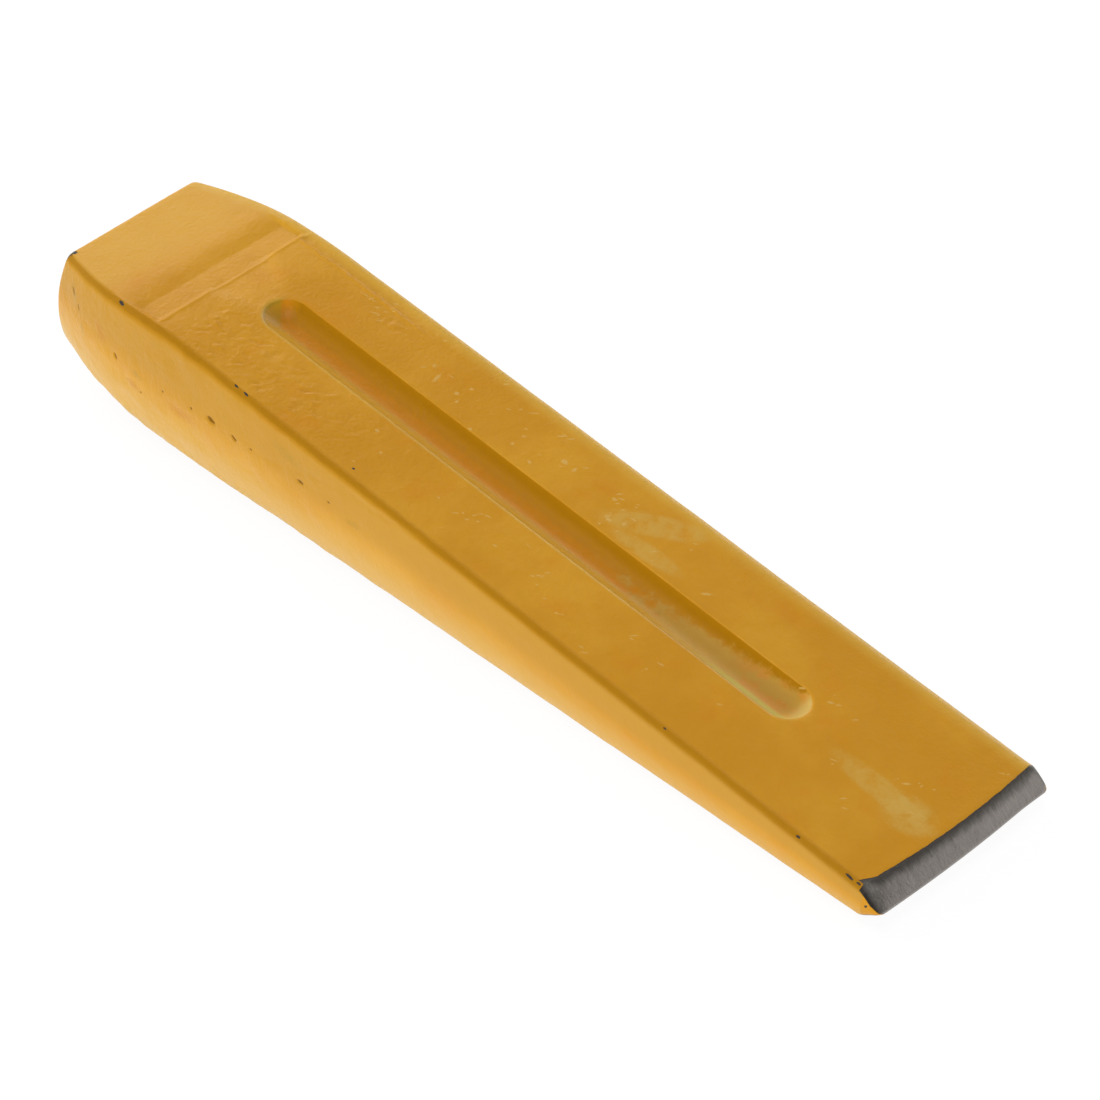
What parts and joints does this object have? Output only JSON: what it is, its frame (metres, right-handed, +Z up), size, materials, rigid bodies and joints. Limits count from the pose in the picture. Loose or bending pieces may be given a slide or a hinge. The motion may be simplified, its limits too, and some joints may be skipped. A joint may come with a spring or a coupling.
{
  "type": "splitting wedge",
  "caption": "Forged steel splitting wedge: a long taper from a blunt striking poll to a ground edge, with a round-ended groove in each broad face and yellow paint.",
  "frame": {"origin": "Middle of the bounding box in X and Y, at the bottom, on the surface that the wedge lies on.", "axes": "+X runs along the wedge from the poll towards the cutting edge, +Y across its width, +Z up, away from the lower broad face that it lies on."},
  "size_m": [0.2448, 0.053, 0.0325],
  "materials": {
    "yellow_paint": "yellow paint sprayed straight on forged scale, semi-gloss, worn at the edges",
    "bare_steel": "coarsely ground bare steel with dark scale at its border"
  },
  "bodies": {
    "root": {"wedge_body": "yellow_paint"}
  },
  "joints": []
}
